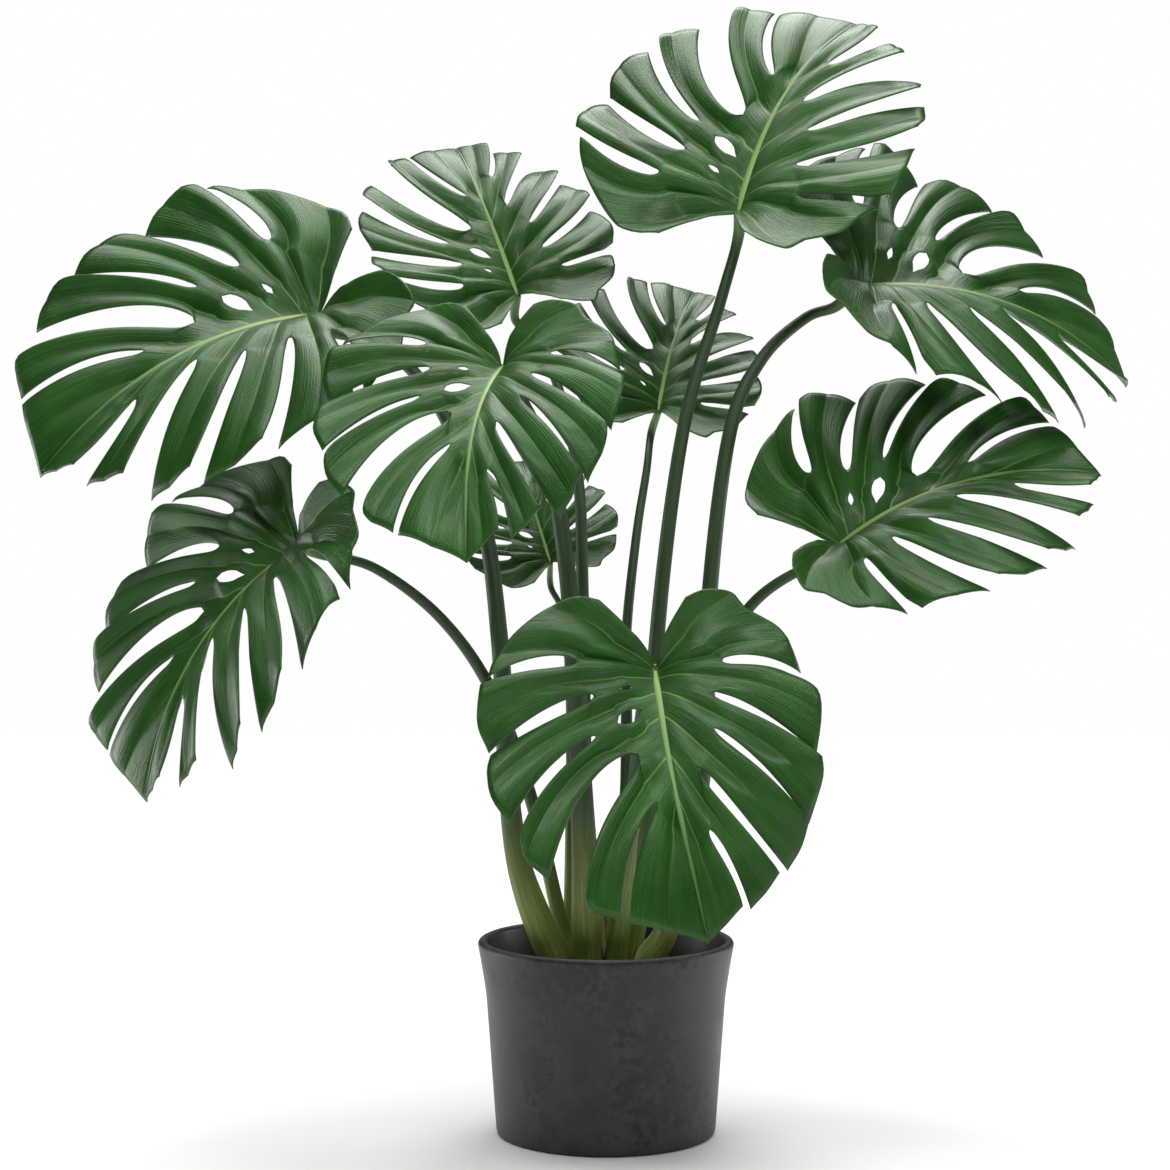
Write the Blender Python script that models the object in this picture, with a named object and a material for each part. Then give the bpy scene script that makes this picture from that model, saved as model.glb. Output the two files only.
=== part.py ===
"""A Swiss cheese plant (monstera) in a round planter.

Metres, +Z up. The planter stands on the origin, and the leaves face -Y.
Every blade is the same split leaf, at its own size, place and turn, and as drawn or mirrored.
"""

import math

import bpy
from mathutils import Matrix, Vector

# Planter
POT_HEIGHT = 0.195
FOOT_RADIUS = 0.110
WAIST_RADIUS = 0.120  # where the straight taper ends and the flare begins
RIM_RADIUS = 0.1305
FLARE_HEIGHT = 0.057
WALL = 0.010
POT_FLOOR = 0.012
FOOT_ROUND = 0.006
POT_SIDES = 48

# Potting mix
SOIL_LEVEL = POT_HEIGHT - 0.030
SOIL_CROWN = 0.004
SOIL_FLAT = 0.085  # radius of the level middle of the mix
GAP = 0.0003  # between pieces that touch

# Leaves, in lengths of the leaf from the stalk joint to the tip
BLADE_THICKNESS = 0.0012
DOME = 0.155
DIMPLE = 0.14
DIMPLE_STRETCH = 0.5  # along the midrib, the dimple at the joint is twice as long
TIP_DROOP = 0.151
MIDRIB_BOW = -0.033
SLIT_STARTS = (0.02, 0.065, 0.14, 0.27, 0.45)  # along the midrib
TERMINAL_START = 0.56
# Shares of the way across a basal lobe, which has two veins, and across the others
BASAL_STEPS = (0.0, 0.15, 0.305, 0.46, 0.61, 0.805, 1.0)
LOBE_STEPS = (0.0, 0.5, 1.0)
SLIT_STEPS = (0.0, 0.12, 0.38, 0.7, 1.0)
JOINED_STEPS = 4  # from the midrib to the slit's inner end
# Each vein of a lobe: its share of the way across, and how far its fold reaches to each side
BASAL_VEINS = ((0.305, 0.305), (0.805, 0.195))
LOBE_VEINS = ((0.5, 0.5),)
FOLD_START = 0.35  # share of the way out at which the fold is full

# One half of the blade has two holes and broad lobes. A point is its distance out from the midrib,
# its distance along the leaf, and its rise over the dome. A slit is (inner end, tip of the lobe below
# it, shoulder of the lobe above it, half width, hole), and a hole is (start, end, half width), as
# shares of the way in from the midrib. A margin runs from a lobe's shoulder to its tip.
HOLED_HALF = {
    "side": -1,
    "sinus": [(0.0, 0.0, 0.0), (0.03, -0.070, -0.010), (0.168, -0.250, -0.031)],
    "slits": [
        ((0.283, -0.015, -0.010), (0.605, 0.024, 0.026), (0.635, 0.050, 0.055), 0.024, None),
        ((0.250, 0.118, 0.0), (0.632, 0.265, -0.005), (0.630, 0.280, 0.015), 0.022, (0.40, 0.56, 0.010)),
        ((0.268, 0.264, -0.009), (0.605, 0.534, 0.025), (0.562, 0.550, 0.065), 0.014, (0.32, 0.66, 0.024)),
        ((0.137, 0.346, -0.008), (0.502, 0.735, 0.005), (0.395, 0.802, 0.062), 0.046, None),
        ((0.105, 0.535, 0.020), (0.281, 0.904, 0.024), (0.262, 0.912, 0.022), 0.014, None),
    ],
    "margins": [
        [(0.252, -0.272, -0.038), (0.358, -0.240, -0.045), (0.480, -0.150, -0.025), (0.568, -0.052, 0.0)],
        [(0.652, 0.112, 0.088), (0.660, 0.190, 0.055)],
        [(0.655, 0.350, 0.052), (0.652, 0.450, 0.056)],
        [(0.580, 0.605, 0.062), (0.560, 0.675, 0.036)],
        [(0.385, 0.860, 0.065)],
        [(0.167, 0.946, 0.040), (0.07, 0.975, 0.018)],
    ],
    "lift": 0.0,
    "fall": 0.16,
    "fall_grows": 0.0,
    "crease": 0.026,
    "closing": 0.0,  # how early the shoulder side of a slit closes
}
PLAIN_HALF = {
    "side": 1,
    "sinus": [(0.0, 0.0, 0.0), (0.035, -0.085, 0.0), (0.125, -0.195, 0.001)],
    "slits": [
        ((0.211, 0.044, -0.030), (0.488, 0.112, 0.008), (0.505, 0.160, 0.055), 0.018, None),
        ((0.154, 0.164, -0.004), (0.480, 0.414, 0.033), (0.481, 0.450, 0.110), 0.018, None),
        ((0.132, 0.304, 0.019), (0.413, 0.645, 0.037), (0.397, 0.661, 0.112), 0.015, None),
        ((0.055, 0.434, 0.015), (0.317, 0.785, -0.008), (0.266, 0.822, 0.088), 0.018, None),
        ((0.053, 0.653, 0.012), (0.158, 0.913, 0.010), (0.122, 0.918, 0.070), 0.015, None),
    ],
    "margins": [
        [(0.20, -0.216, -0.012), (0.292, -0.202, -0.030), (0.330, -0.142, -0.045), (0.385, -0.100, -0.058),
         (0.442, -0.040, -0.055)],
        [(0.520, 0.220, 0.105), (0.512, 0.300, 0.102)],
        [(0.474, 0.520, 0.100)],
        [(0.366, 0.730, 0.065)],
        [(0.215, 0.872, 0.055)],
        [(0.060, 0.962, 0.040)],
    ],
    "lift": 0.04,
    "fall": 0.45,
    "fall_grows": 1.0,
    "crease": 0.013,
    "closing": 1.3,
}

# Each leaf: name, stalk joint, tip, turn about the line between them in degrees, mirrored,
# the stalk's radius at the joint and at the soil, and its route from the soil up
LEAVES = [
    ("top", (0.132, 0.000, 0.920), (0.265, 0.143, 1.135), -27, False, 0.0048, 0.0110,
     [(0.026, 0.002, 0.17), (0.045, -0.004, 0.32), (0.051, -0.004, 0.50), (0.077, 0.0, 0.705),
      (0.115, 0.012, 0.835)]),
    ("upper_right", (0.252, 0.030, 0.848), (0.545, 0.115, 0.755), -53, False, 0.0048, 0.0120,
     [(0.044, -0.024, 0.17), (0.066, -0.022, 0.22), (0.096, -0.012, 0.365), (0.104, 0.0, 0.546),
      (0.125, 0.012, 0.706), (0.157, 0.025, 0.777), (0.202, 0.045, 0.819)]),
    ("right", (0.228, -0.050, 0.590), (0.488, -0.035, 0.661), -47, False, 0.0044, 0.0090,
     [(0.012, 0.030, 0.17), (0.028, 0.040, 0.25), (0.067, 0.040, 0.37), (0.110, 0.022, 0.471),
      (0.148, -0.004, 0.533), (0.195, -0.018, 0.566)]),
    ("front", (0.044, -0.200, 0.478), (0.088, -0.319, 0.245), -10, True, 0.0048, 0.0105,
     [(0.010, -0.036, 0.17), (0.018, -0.045, 0.25), (0.028, -0.070, 0.36), (0.034, -0.110, 0.435)]),
    ("middle", (-0.099, -0.140, 0.760), (-0.126, -0.302, 0.581), 13, True, 0.0048, 0.0145,
     [(-0.018, -0.034, 0.17), (-0.022, -0.036, 0.28), (-0.028, -0.040, 0.42), (-0.038, -0.044, 0.56),
      (-0.056, -0.055, 0.67), (-0.084, -0.080, 0.735)]),
    ("upper_left", (-0.091, 0.100, 0.847), (-0.161, 0.230, 1.017), 24, False, 0.0040, 0.0090,
     [(-0.016, 0.020, 0.17), (-0.020, 0.022, 0.35), (-0.023, 0.032, 0.53), (-0.027, 0.050, 0.65),
      (-0.045, 0.075, 0.74), (-0.070, 0.100, 0.80)]),
    ("left", (-0.287, 0.010, 0.819), (-0.548, -0.088, 0.659), 40, True, 0.0052, 0.0145,
     [(-0.052, -0.030, 0.17), (-0.076, -0.032, 0.235), (-0.090, -0.031, 0.29), (-0.098, -0.028, 0.37),
      (-0.106, -0.024, 0.50), (-0.124, -0.005, 0.62), (-0.168, 0.016, 0.73), (-0.224, 0.030, 0.79)]),
    ("lower_left", (-0.295, -0.100, 0.589), (-0.434, -0.170, 0.353), 51, True, 0.0046, 0.0090,
     [(-0.038, 0.008, 0.17), (-0.048, 0.012, 0.22), (-0.074, 0.015, 0.33), (-0.113, 0.002, 0.441),
      (-0.163, -0.022, 0.517), (-0.226, -0.052, 0.568)]),
    ("back", (0.056, 0.140, 0.728), (0.100, 0.263, 0.864), -1, False, 0.0036, 0.0085,
     [(-0.003, 0.002, 0.17), (0.009, 0.009, 0.25), (0.020, 0.018, 0.33), (0.021, 0.026, 0.42),
      (0.021, 0.036, 0.50), (0.032, 0.070, 0.60), (0.043, 0.110, 0.665)]),
    ("low_back", (-0.057, 0.110, 0.570), (-0.090, 0.211, 0.678), 15, False, 0.0028, 0.0060,
     [(-0.038, 0.038, 0.17), (-0.036, 0.050, 0.32), (-0.037, 0.078, 0.44), (-0.044, 0.110, 0.515)]),
]
STALK_STEPS = 3  # between route points
STALK_NECK = 0.028
UPRIGHT_FOOT = 0.012  # the lowest stretch of a stalk stands straight up
JOINT_CLEARANCE = 0.0042


def material(name, colour, roughness, coat=0.0):
    mat = bpy.data.materials.new(name)
    mat.use_nodes = True
    shader = mat.node_tree.nodes["Principled BSDF"]
    shader.inputs["Base Color"].default_value = (*colour, 1.0)
    shader.inputs["Roughness"].default_value = roughness
    shader.inputs["Metallic"].default_value = 0.0
    shader.inputs["Coat Weight"].default_value = coat
    return mat


def smooth_path(points, steps):
    """A Catmull-Rom curve through the points, with this many steps between each two."""
    points = [Vector(p) for p in points]
    ends = [2 * points[0] - points[1], *points, 2 * points[-1] - points[-2]]
    path = [points[0]]
    for before, start, end, after in zip(ends, ends[1:], ends[2:], ends[3:]):
        for step in range(1, steps + 1):
            t = step / steps
            path.append(
                0.5 * (2 * start + (end - before) * t
                       + (2 * before - 5 * start + 4 * end - after) * t**2
                       + (3 * start - before - 3 * end + after) * t**3)
            )
    return path


def along(path, share):
    """The point this share of the way along a polyline."""
    lengths = [(b - a).length for a, b in zip(path, path[1:])]
    left = share * sum(lengths)
    for start, end, length in zip(path, path[1:], lengths):
        if left <= length:
            return start.lerp(end, left / length)
        left -= length
    return path[-1]


def turned(profile, sides):
    """A closed profile of (radius, height) points turned round Z. It runs up the outside."""
    verts, rings = [], []
    for radius, height in profile:
        if radius == 0:
            rings.append([len(verts)] * sides)
            verts.append((0, 0, height))
            continue
        rings.append(list(range(len(verts), len(verts) + sides)))
        for side in range(sides):
            angle = 2 * math.pi * side / sides
            verts.append((radius * math.cos(angle), radius * math.sin(angle), height))
    faces = []
    for low, high in zip(rings, rings[1:]):
        for side in range(sides):
            after = (side + 1) % sides
            corners = [low[side], low[after], high[after], high[side]]
            faces.append([c for n, c in enumerate(corners) if c not in corners[:n]])
    return verts, faces


def mesh_object(name, verts, faces, mat):
    mesh = bpy.data.meshes.new(name)
    mesh.from_pydata([tuple(v) for v in verts], [], faces)
    mesh.materials.append(mat)
    mesh.validate()
    obj = bpy.data.objects.new(name, mesh)
    bpy.context.scene.collection.objects.link(obj)
    mesh.shade_smooth()
    mesh.set_sharp_from_angle(angle=math.radians(40))
    return obj


def outer_radius(height):
    """The planter's outside: a straight taper, then a flare of growing slope."""
    waist = POT_HEIGHT - FLARE_HEIGHT
    if height <= waist:
        return FOOT_RADIUS + (WAIST_RADIUS - FOOT_RADIUS) * height / waist
    share = (height - waist) / FLARE_HEIGHT
    return WAIST_RADIUS + (RIM_RADIUS - WAIST_RADIUS) * (0.85 * share + 0.15 * share**2)


def inner_radius(height):
    return outer_radius(height) - WALL


def build_pot(mat):
    lip = WALL / 2
    lip_height = POT_HEIGHT - lip
    profile = [(0, 0)]
    for step in range(3):
        angle = math.radians(45 * step)
        profile.append((
            outer_radius(FOOT_ROUND) - FOOT_ROUND * (1 - math.sin(angle)),
            FOOT_ROUND * (1 - math.cos(angle)),
        ))
    for height in (0.07, POT_HEIGHT - FLARE_HEIGHT, POT_HEIGHT - 0.038, POT_HEIGHT - 0.019):
        profile.append((outer_radius(height), height))
    for step in range(5):
        angle = math.radians(45 * step)
        profile.append((
            outer_radius(lip_height) - lip + lip * math.cos(angle),
            lip_height + lip * math.sin(angle),
        ))
    for height in (POT_HEIGHT - 0.038, POT_HEIGHT - FLARE_HEIGHT, POT_FLOOR):
        profile.append((inner_radius(height), height))
    profile.append((0, POT_FLOOR))
    return mesh_object("pot", *turned(profile, POT_SIDES), mat)


def build_soil(mat):
    bottom = POT_FLOOR + GAP
    waist = POT_HEIGHT - FLARE_HEIGHT
    profile = [(0, bottom)]
    for height in (bottom, waist, SOIL_LEVEL - SOIL_CROWN):
        profile.append((inner_radius(height) - 2 * GAP, height))
    profile += [(SOIL_FLAT, SOIL_LEVEL), (0, SOIL_LEVEL)]
    return mesh_object("soil", *turned(profile, POT_SIDES), mat)


def midrib(y):
    return Vector((MIDRIB_BOW * math.sin(math.pi * max(y, 0)), y, 0))


def height(half, x, y):
    """How far the blade stands above the flat through the joint and the tip."""
    ahead = max(y, 0)
    out = abs(x - midrib(ahead).x)
    stretch = DIMPLE_STRETCH if y > 0 else 1
    z = DOME * (1 - math.exp(-math.hypot(out, y * stretch) / DIMPLE)) - TIP_DROOP * ahead**3.5
    z += half["lift"] * (1 - min(ahead, 1)) * (1 - math.exp(-out / 0.04))
    fall = half["fall"] + half["fall_grows"] * max(0, ahead - 0.45)
    return z - fall * out**2 * min(1, ahead / 0.12)


def slit_edges(half, number):
    """The two edges, from the midrib out, of a slit: one for the lobe below, one for the one above."""
    inner, tip, shoulder, half_width, hole = half["slits"][number]
    side = half["side"]
    start = midrib(SLIT_STARTS[number])
    inner, tip, shoulder = (Vector((side * x, y, rise)) for x, y, rise in (inner, tip, shoulder))
    way = (inner - start).to_2d().normalized().to_3d()
    across = Vector((-way.y, way.x, 0)) * side
    below, above = [start.copy()], [start.copy()]
    first, last, hole_width = hole or (0.35, 0.65, 0.0)
    for share, opening in ((first, 0), ((first + last) / 2, hole_width), (last, 0), (1, 0)):
        centre = start.lerp(inner, share)
        below.append(centre - across * opening)
        above.append(centre + across * opening)
    for end, edge, sign in ((tip, below, -1), (shoulder, above, 1)):
        bend = inner + way * (end - inner).length / 2
        bend.z = inner.z * 0.8 + end.z * 0.2
        for s in SLIT_STEPS[1:]:
            if s < 0.3:
                opening = math.sqrt(1 - (1 - s / 0.3) ** 2)
            else:
                opening = math.cos(math.pi / 2 * (s - 0.3) / 0.7)
            if edge is above:
                opening *= (1 - s) ** half["closing"]
            point = inner * (1 - s) ** 2 + bend * 2 * s * (1 - s) + end * s**2
            edge.append(point + across * sign * half_width * opening)
    return below, above


def lobe_grid(half, low, high, start, margin, shares):
    """A lobe's points between its two long edges, fitted to its start on the midrib and its margin."""
    last = len(low) - 1
    rows = []
    for t in shares:
        begin, end = along(start, t), along(margin, t)
        veins = BASAL_VEINS if shares is BASAL_STEPS else LOBE_VEINS
        fold = max(0, *(1 - abs(t - place) / reach for place, reach in veins))
        row = []
        for k, (a, b) in enumerate(zip(low, high)):
            s = k / last
            corners = (
                (low[0] * (1 - t) + high[0] * t) * (1 - s) + (low[-1] * (1 - t) + high[-1] * t) * s
            )
            x, y, rise = a * (1 - t) + b * t + begin * (1 - s) + end * s - corners
            z = height(half, x, y) + rise
            # The blade is folded along each vein
            z -= half["crease"] * fold * min(1, s / FOLD_START) * (1 - s / 2)
            row.append((x, y, z))
        rows.append(row)
    return rows


def half_blade(half):
    """The grid of points of each lobe of one half."""
    side = half["side"]
    count = JOINED_STEPS + len(SLIT_STEPS) - 1
    sinus = smooth_path([(side * x, y, rise) for x, y, rise in half["sinus"]], 6)
    edges = [slit_edges(half, n) for n in range(len(SLIT_STARTS))]
    lows = [[along(sinus, k / count) for k in range(count + 1)]] + [above for below, above in edges]
    highs = [below for below, above in edges]
    highs.append([midrib(TERMINAL_START + (1 - TERMINAL_START) * k / count) for k in range(count + 1)])
    starts = [0.0, *SLIT_STARTS, TERMINAL_START]
    grids = []
    for n in range(len(lows)):
        start = [midrib(starts[n] + (starts[n + 1] - starts[n]) * t / 4) for t in range(5)]
        inner = [Vector((side * x, y, rise)) for x, y, rise in half["margins"][n]]
        margin = smooth_path([lows[n][-1], *inner, highs[n][-1]], 4)
        shares = LOBE_STEPS if n else BASAL_STEPS
        grids.append(lobe_grid(half, lows[n], highs[n], start, margin, shares))
    return grids


def blade_surface(length, mirrored):
    """The upper surface of a blade: its joint at the origin, its tip along +Y, its face +Z."""
    verts, faces, found = [], [], {}
    for half in (HOLED_HALF, PLAIN_HALF):
        for grid in half_blade(half):
            index = []
            for row in grid:
                index.append([])
                for x, y, z in row:
                    key = (round(x, 5), round(y, 5))
                    if key not in found:
                        found[key] = len(verts)
                        flip = -1 if mirrored else 1
                        verts.append(Vector((flip * x, y, z)) * length)
                    index[-1].append(found[key])
            for low, high in zip(index, index[1:]):
                for k in range(len(low) - 1):
                    corners = [low[k], low[k + 1], high[k + 1], high[k]]
                    corners = [c for n, c in enumerate(corners) if c not in corners[:n]]
                    if (half["side"] < 0) != mirrored:
                        corners.reverse()
                    if len(corners) > 2:
                        faces.append(corners)
    return verts, faces


def leaf_frame(joint, tip, turn):
    """The leaf's axes in the world: +Y from the joint to the tip, +Z out of its face."""
    ahead = (tip - joint).normalized()
    front = Vector((0, -1, 0))
    face = (front - ahead * front.dot(ahead)).normalized()
    face.rotate(Matrix.Rotation(math.radians(turn), 3, ahead))
    axes = Matrix((ahead.cross(face), ahead, face)).transposed().to_4x4()
    return Matrix.Translation(joint) @ axes


def build_blade(name, joint, tip, turn, mirrored, mat):
    verts, faces = blade_surface((tip - joint).length, mirrored)
    blade = mesh_object("leaf_" + name, verts, faces, mat)
    blade.matrix_world = leaf_frame(joint, tip, turn)
    solid = blade.modifiers.new("thickness", "SOLIDIFY")
    solid.thickness = BLADE_THICKNESS
    solid.offset = -1
    return blade


def build_stalk(name, joint, tip, turn, top_radius, base_radius, route, mat):
    frame = leaf_frame(joint, tip, turn)
    ahead, face = frame.col[1].xyz, frame.col[2].xyz
    foot = Vector((*route[0][:2], SOIL_LEVEL + GAP))
    rise = foot + Vector((0, 0, UPRIGHT_FOOT))
    neck = joint - face * STALK_NECK - ahead * STALK_NECK / 3
    end = joint - face * JOINT_CLEARANCE
    path = smooth_path([rise, *route[1:], neck, end], STALK_STEPS)
    path.insert(0, foot)
    curve = bpy.data.curves.new("petiole_" + name, "CURVE")
    curve.dimensions = "3D"
    curve.bevel_depth = base_radius
    curve.bevel_resolution = 1
    curve.use_fill_caps = True
    spline = curve.splines.new("POLY")
    spline.points.add(len(path) - 1)
    for n, point in enumerate(path):
        share = n / (len(path) - 1)
        radius = top_radius + (base_radius - top_radius) * (1 - share) ** 1.6
        spline.points[n].co = (*point, 1)
        spline.points[n].radius = radius / base_radius
    curve.materials.append(mat)
    stalk = bpy.data.objects.new("petiole_" + name, curve)
    bpy.context.scene.collection.objects.link(stalk)
    return stalk


def main():
    for obj in list(bpy.data.objects):
        bpy.data.objects.remove(obj)
    charcoal = material("planter_charcoal", (0.035, 0.035, 0.033), 0.6)
    mix = material("potting_mix", (0.018, 0.012, 0.008), 0.95)
    blade_green = material("leaf_green", (0.022, 0.075, 0.02), 0.35, coat=0.3)
    stalk_green = material("petiole_green", (0.035, 0.06, 0.022), 0.45)
    build_pot(charcoal)
    build_soil(mix)
    for name, joint, tip, turn, mirrored, top_radius, base_radius, route in LEAVES:
        joint, tip = Vector(joint), Vector(tip)
        build_blade(name, joint, tip, turn, mirrored, blade_green)
        build_stalk(name, joint, tip, turn, top_radius, base_radius, route, stalk_green)


main()
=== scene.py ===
"""Looks of the potted monstera: ten split leaves on their stalks, in a charcoal planter of potting mix.

Metres, +Z up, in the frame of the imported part. One blade is modelled at a length of 1 from its stalk
joint to its tip, and each leaf is a copy of it, as drawn or mirrored.
"""

import math
import random

import bmesh
import bpy
from mathutils import Matrix, Vector, noise


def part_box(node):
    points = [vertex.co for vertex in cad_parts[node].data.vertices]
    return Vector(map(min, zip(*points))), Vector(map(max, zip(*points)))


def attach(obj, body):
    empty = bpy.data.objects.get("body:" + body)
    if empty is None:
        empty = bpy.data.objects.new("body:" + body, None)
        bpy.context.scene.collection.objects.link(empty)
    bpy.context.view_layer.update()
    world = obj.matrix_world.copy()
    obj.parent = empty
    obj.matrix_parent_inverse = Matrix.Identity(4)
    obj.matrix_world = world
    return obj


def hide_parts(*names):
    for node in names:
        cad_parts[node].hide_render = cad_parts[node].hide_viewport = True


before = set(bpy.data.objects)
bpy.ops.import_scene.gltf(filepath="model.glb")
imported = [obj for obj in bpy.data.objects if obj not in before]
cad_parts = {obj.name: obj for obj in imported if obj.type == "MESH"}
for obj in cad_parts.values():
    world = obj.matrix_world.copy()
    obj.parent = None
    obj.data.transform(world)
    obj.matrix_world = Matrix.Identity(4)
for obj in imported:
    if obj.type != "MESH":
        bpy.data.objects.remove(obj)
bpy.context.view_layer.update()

# Planter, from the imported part
POT_LOW, POT_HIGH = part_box("pot")
POT_HEIGHT = POT_HIGH[2]
RIM_RADIUS = POT_HIGH[0]
FOOT_RADIUS = 0.110
WAIST_RADIUS = 0.120
FLARE_HEIGHT = 0.057
WALL = 0.010
FOOT_ROUND = 0.006
POT_SIDES = 160

# Potting mix
SOIL_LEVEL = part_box("soil")[1][2]
SOIL_CROWN = 0.004
SOIL_DEPTH = 0.03
SOIL_RINGS = 44
CHIPS = 420

# Leaves, in lengths of the leaf from the stalk joint to the tip
BLADE_THICKNESS = 0.0011
DOME = 0.155
DIMPLE = 0.14
DIMPLE_STRETCH = 0.5  # along the midrib, the dimple at the joint is twice as long
TIP_DROOP = 0.151
MIDRIB_BOW = -0.033
EDGE_CURL = 0.007
CREASE_CURVE = 1.6  # 1 is a straight fold, and more leaves the sides of it level
CREASE_GROWN = 0.35  # share of the way out at which the fold along a vein is full
DROOP_POWER = 3.5
LIFT_REACH = 0.04  # distance from the midrib over which a half lifts
FALL_REACH = 0.12  # distance from the joint over which the fall of the sides sets in
FALL_GROWS_FROM = 0.45  # along the midrib
SLIT_WIDEST = 0.3  # share of a slit's free length, from its inner end
SLIT_BEND_RISE = 0.2  # share of its outer end's rise that a slit has at its bend
STEP_CROWDING = 1.4  # steps along a slit lie closer together at its inner end
CURL_WIDTH = 0.07  # of a free edge, as a share of the way across the lobe
PALE_WIDTH = 0.07  # on each side of a vein, as a share of half the way across the lobe
SLIT_STARTS = (0.02, 0.065, 0.14, 0.27, 0.45)  # along the midrib
TERMINAL_START = 0.56
JOINED_STEPS = 15
FREE_STEPS = 26
# Across the stretch of a lobe that each vein feeds, closest beside the vein at 0.5
VEIN_STEPS = (
    0.0, 0.035, 0.10, 0.19, 0.29, 0.39, 0.45, 0.482, 0.5, 0.518, 0.55, 0.61, 0.71, 0.81, 0.90, 0.965)
BASAL_VEINS = (0.0, 0.61, 1.0)  # the basal lobe has two veins, which share it here

# One half of the blade has two holes and broad lobes. A point is its distance out from the midrib,
# its distance along the leaf, and its rise over the dome. A slit is (inner end, tip of the lobe below
# it, shoulder of the lobe above it, half width, hole), and a hole is (start, end, half width), as
# shares of the way in from the midrib. A margin runs from a lobe's shoulder to its tip.
HOLED_HALF = {
    "side": -1,
    "sinus": [(0.0, 0.0, 0.0), (0.03, -0.070, -0.010), (0.168, -0.250, -0.031)],
    "slits": [
        ((0.283, -0.015, -0.010), (0.605, 0.024, 0.026), (0.635, 0.050, 0.055), 0.024, None),
        ((0.250, 0.118, 0.0), (0.632, 0.265, -0.005), (0.630, 0.280, 0.015), 0.022, (0.40, 0.56, 0.010)),
        ((0.268, 0.264, -0.009), (0.605, 0.534, 0.025), (0.562, 0.550, 0.065), 0.014, (0.32, 0.66, 0.024)),
        ((0.137, 0.346, -0.008), (0.502, 0.735, 0.005), (0.395, 0.802, 0.062), 0.046, None),
        ((0.105, 0.535, 0.020), (0.281, 0.904, 0.024), (0.262, 0.912, 0.022), 0.014, None),
    ],
    "margins": [
        [(0.252, -0.272, -0.038), (0.358, -0.240, -0.045), (0.480, -0.150, -0.025), (0.568, -0.052, 0.0)],
        [(0.652, 0.112, 0.088), (0.660, 0.190, 0.055)],
        [(0.655, 0.350, 0.052), (0.652, 0.450, 0.056)],
        [(0.580, 0.605, 0.062), (0.560, 0.675, 0.036)],
        [(0.385, 0.860, 0.065)],
        [(0.167, 0.946, 0.040), (0.07, 0.975, 0.018)],
    ],
    "lift": 0.0,
    "fall": 0.16,
    "fall_grows": 0.0,
    "crease": 0.046,
    "closing": 0.0,  # how early the shoulder side of a slit closes
}
PLAIN_HALF = {
    "side": 1,
    "sinus": [(0.0, 0.0, 0.0), (0.035, -0.085, 0.0), (0.125, -0.195, 0.001)],
    "slits": [
        ((0.211, 0.044, -0.030), (0.488, 0.112, 0.008), (0.505, 0.160, 0.055), 0.018, None),
        ((0.154, 0.164, -0.004), (0.480, 0.414, 0.033), (0.481, 0.450, 0.110), 0.018, None),
        ((0.132, 0.304, 0.019), (0.413, 0.645, 0.037), (0.397, 0.661, 0.112), 0.015, None),
        ((0.055, 0.434, 0.015), (0.317, 0.785, -0.008), (0.266, 0.822, 0.088), 0.018, None),
        ((0.053, 0.653, 0.012), (0.158, 0.913, 0.010), (0.122, 0.918, 0.070), 0.015, None),
    ],
    "margins": [
        [(0.20, -0.216, -0.012), (0.292, -0.202, -0.030), (0.330, -0.142, -0.045), (0.385, -0.100, -0.058),
         (0.442, -0.040, -0.055)],
        [(0.520, 0.220, 0.105), (0.512, 0.300, 0.102)],
        [(0.474, 0.520, 0.100)],
        [(0.366, 0.730, 0.065)],
        [(0.215, 0.872, 0.055)],
        [(0.060, 0.962, 0.040)],
    ],
    "lift": 0.04,
    "fall": 0.45,
    "fall_grows": 1.0,
    "crease": 0.034,
    "closing": 1.3,
}

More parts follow.
